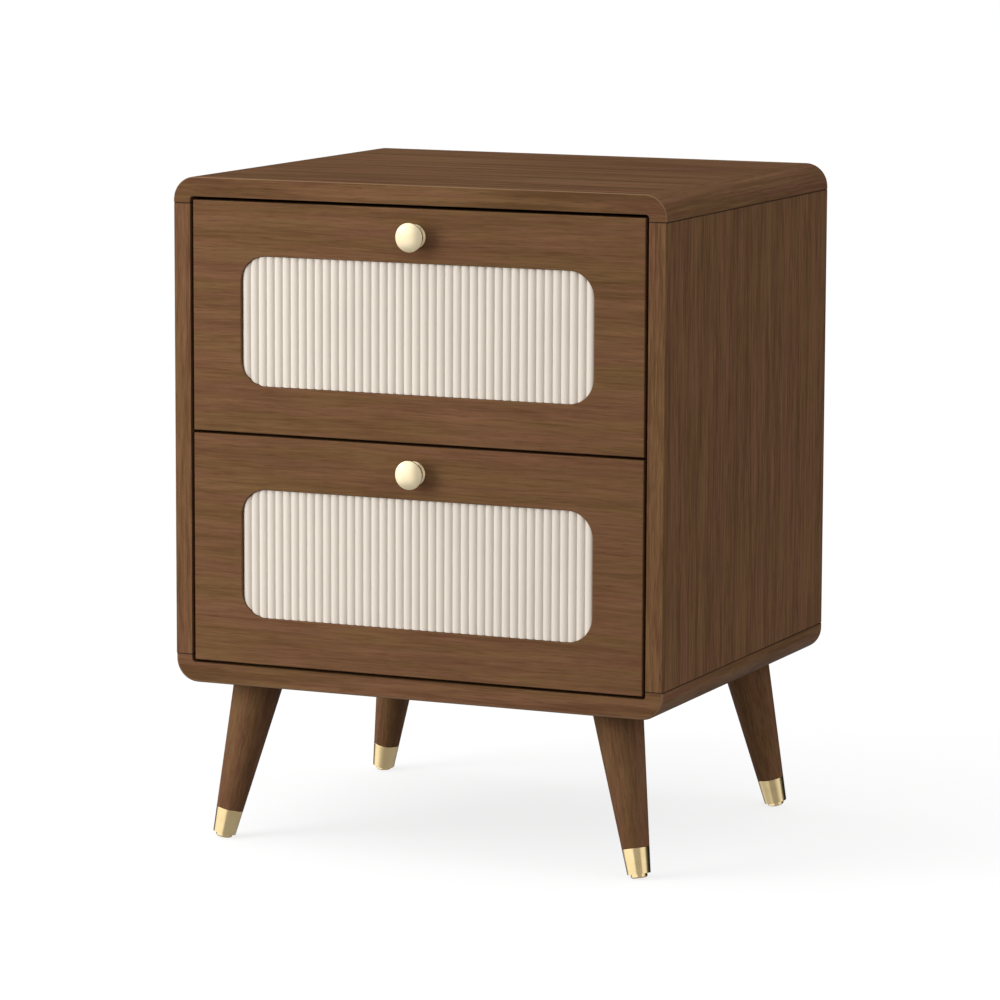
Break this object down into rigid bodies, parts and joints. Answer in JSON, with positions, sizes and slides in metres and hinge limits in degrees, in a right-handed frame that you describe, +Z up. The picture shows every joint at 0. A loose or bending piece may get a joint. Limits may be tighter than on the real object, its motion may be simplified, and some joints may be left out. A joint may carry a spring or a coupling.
{
  "type": "nightstand with drawers",
  "caption": "Nightstand with stacked drawers on telescopic slides, reeded cream front inserts, rounded case corners and splayed tapered legs with metal ferrules.",
  "frame": {"origin": "on the floor, under the middle of the bounding box, knobs included", "axes": "+X to a viewer's right, +Y from the drawer fronts to the back, +Z up"},
  "size_m": [0.45, 0.396, 0.574],
  "materials": {
    "walnut_boards": "satin lacquered walnut veneer, grain across",
    "walnut_sides": "satin lacquered walnut veneer, grain upright",
    "walnut_fronts": "satin lacquered walnut veneer, grain across",
    "walnut_legs": "satin lacquered solid wood, grain along the leg",
    "cream_lacquer": "satin cream lacquer on a milled board",
    "knob_gold": "satin champagne gold plating",
    "ferrule_brass": "satin brushed brass",
    "box_board": "clear-lacquered birch plywood",
    "back_board": "thin hardboard with a walnut-coloured face",
    "rail_wood": "satin walnut-stained wood",
    "dowel_beech": "plain beech",
    "zinc_steel": "bright zinc plate",
    "slide_steel": "zinc-plated rolled sheet",
    "plate_steel": "black powder coat"
  },
  "bodies": {
    "case": {"top_board": "walnut_boards", "bottom_board": "walnut_boards", "left_side_panel": "walnut_sides", "right_side_panel": "walnut_sides", "back_panel": "back_board", "mid_rail": "rail_wood", "case_dowels": "dowel_beech", "cam_locks": "zinc_steel", "cam_bolts": "zinc_steel", "back_panel_screws": "zinc_steel", "front_left_leg": "walnut_legs", "front_left_ferrule": "ferrule_brass", "front_left_leg_plate": "plate_steel", "front_right_leg": "walnut_legs", "front_right_ferrule": "ferrule_brass", "front_right_leg_plate": "plate_steel", "rear_left_leg": "walnut_legs", "rear_left_ferrule": "ferrule_brass", "rear_left_leg_plate": "plate_steel", "rear_right_leg": "walnut_legs", "rear_right_ferrule": "ferrule_brass", "rear_right_leg_plate": "plate_steel", "foot_glides": "ferrule_brass", "hanger_bolts": "zinc_steel", "plate_screws": "zinc_steel", "slide_case_screws": "zinc_steel", "lower_left_slide_case_member": "slide_steel", "lower_right_slide_case_member": "slide_steel", "upper_left_slide_case_member": "slide_steel", "upper_right_slide_case_member": "slide_steel"},
    "lower_left_slide_middle": {"lower_left_slide_middle_member": "slide_steel"},
    "lower_right_slide_middle": {"lower_right_slide_middle_member": "slide_steel"},
    "lower_drawer": {"lower_drawer_front": "walnut_fronts", "lower_fluted_insert": "cream_lacquer", "lower_knob": "knob_gold", "lower_knob_screw": "zinc_steel", "lower_box_front": "box_board", "lower_box_left_side": "box_board", "lower_box_right_side": "box_board", "lower_box_back": "box_board", "lower_box_bottom": "box_board", "lower_front_screws": "zinc_steel", "lower_slide_screws": "zinc_steel", "lower_left_slide_drawer_member": "slide_steel", "lower_right_slide_drawer_member": "slide_steel"},
    "upper_left_slide_middle": {"upper_left_slide_middle_member": "slide_steel"},
    "upper_right_slide_middle": {"upper_right_slide_middle_member": "slide_steel"},
    "upper_drawer": {"upper_drawer_front": "walnut_fronts", "upper_fluted_insert": "cream_lacquer", "upper_knob": "knob_gold", "upper_knob_screw": "zinc_steel", "upper_box_front": "box_board", "upper_box_left_side": "box_board", "upper_box_right_side": "box_board", "upper_box_back": "box_board", "upper_box_bottom": "box_board", "upper_front_screws": "zinc_steel", "upper_slide_screws": "zinc_steel", "upper_left_slide_drawer_member": "slide_steel", "upper_right_slide_drawer_member": "slide_steel"}
  },
  "joints": [
    {"name": "lower_drawer_slide", "type": "slide", "parent": "case", "child": "lower_drawer", "axis": [0, -1, 0], "range_m": [0, 0.28]},
    {"name": "lower_left_middle_slide", "type": "slide", "parent": "case", "child": "lower_left_slide_middle", "axis": [0, -1, 0], "range_m": [0, 0.14]},
    {"name": "lower_right_middle_slide", "type": "slide", "parent": "case", "child": "lower_right_slide_middle", "axis": [0, -1, 0], "range_m": [0, 0.14]},
    {"name": "upper_drawer_slide", "type": "slide", "parent": "case", "child": "upper_drawer", "axis": [0, -1, 0], "range_m": [0, 0.28]},
    {"name": "upper_left_middle_slide", "type": "slide", "parent": "case", "child": "upper_left_slide_middle", "axis": [0, -1, 0], "range_m": [0, 0.14]},
    {"name": "upper_right_middle_slide", "type": "slide", "parent": "case", "child": "upper_right_slide_middle", "axis": [0, -1, 0], "range_m": [0, 0.14]}
  ],
  "couplings": [
    {"joint": "lower_left_middle_slide", "follows": "lower_drawer_slide", "ratio": 0.5},
    {"joint": "lower_right_middle_slide", "follows": "lower_drawer_slide", "ratio": 0.5},
    {"joint": "upper_left_middle_slide", "follows": "upper_drawer_slide", "ratio": 0.5},
    {"joint": "upper_right_middle_slide", "follows": "upper_drawer_slide", "ratio": 0.5}
  ]
}
